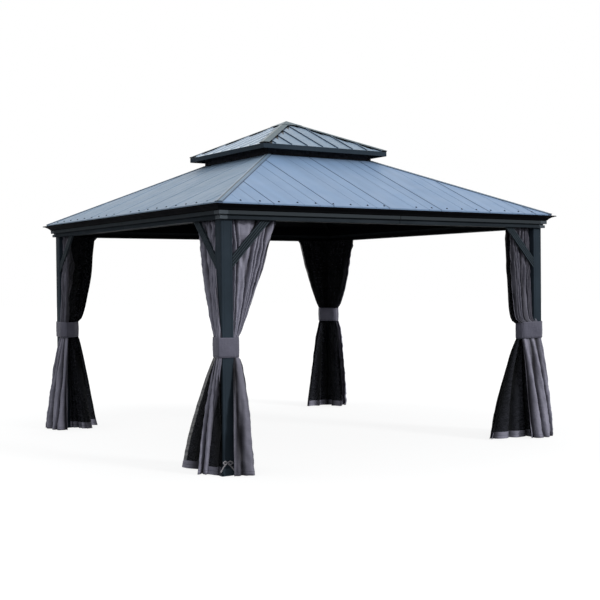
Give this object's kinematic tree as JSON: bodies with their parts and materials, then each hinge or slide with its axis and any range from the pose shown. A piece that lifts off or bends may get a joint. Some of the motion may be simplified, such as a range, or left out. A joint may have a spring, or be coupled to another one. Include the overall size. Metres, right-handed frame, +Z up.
{
  "type": "hardtop gazebo",
  "caption": "Square hardtop garden gazebo with a vented two-tier ribbed hip roof, braced square posts, a stepped cornice with gutters, and curtains tied back at each post.",
  "frame": {"origin": "on the ground under the apex of the roof", "axes": "+Z up, -Y out of the front side, +X to the right of the front side"},
  "size_m": [3.66, 3.66, 3.0665],
  "materials": {
    "frame_coat": "satin slate powder coat",
    "foot_coat": "satin slate powder coat",
    "corner_coat": "satin slate coat",
    "gutter_coat": "dark satin coat",
    "inner_coat": "dark satin coat",
    "roof_sheet": "satin blue-grey steel coat",
    "hip_cap_coat": "satin slate steel coat",
    "curtain_cloth": "woven polyester",
    "tie_cloth": "woven polyester"
  },
  "bodies": {
    "root": {"apex_cap": "hip_cap_coat", "beam_back": "frame_coat", "beam_front": "frame_coat", "beam_left": "frame_coat", "beam_right": "frame_coat", "braces_back_left": "frame_coat", "braces_back_right": "frame_coat", "braces_front_left": "frame_coat", "braces_front_right": "frame_coat", "corner_block_back_left": "corner_coat", "corner_block_back_right": "corner_coat", "corner_block_front_left": "corner_coat", "corner_block_front_right": "corner_coat", "curtain_rails": "inner_coat", "curtains_back_left": "curtain_cloth", "curtains_back_right": "curtain_cloth", "curtains_front_left": "curtain_cloth", "curtains_front_right": "curtain_cloth", "fascia": "frame_coat", "foot_back_left": "foot_coat", "foot_back_right": "foot_coat", "foot_front_left": "foot_coat", "foot_front_right": "foot_coat", "gutter_back": "gutter_coat", "gutter_front": "gutter_coat", "gutter_left": "gutter_coat", "gutter_right": "gutter_coat", "hip_cap_back_left": "hip_cap_coat", "hip_cap_back_right": "hip_cap_coat", "hip_cap_front_left": "hip_cap_coat", "hip_cap_front_right": "hip_cap_coat", "hip_rafters": "inner_coat", "post_back_left": "frame_coat", "post_back_right": "frame_coat", "post_front_left": "frame_coat", "post_front_right": "frame_coat", "roof_panel_back": "roof_sheet", "roof_panel_front": "roof_sheet", "roof_panel_left": "roof_sheet", "roof_panel_right": "roof_sheet", "roof_ring": "inner_coat", "side_rafters": "inner_coat", "tie_back_left": "tie_cloth", "tie_back_right": "tie_cloth", "tie_front_left": "tie_cloth", "tie_front_right": "tie_cloth", "upper_cap_back_left": "hip_cap_coat", "upper_cap_back_right": "hip_cap_coat", "upper_cap_front_left": "hip_cap_coat", "upper_cap_front_right": "hip_cap_coat", "upper_panel_back": "roof_sheet", "upper_panel_front": "roof_sheet", "upper_panel_left": "roof_sheet", "upper_panel_right": "roof_sheet", "upper_rafters": "inner_coat", "upper_ring": "inner_coat", "vent_posts": "inner_coat"}
  },
  "joints": []
}
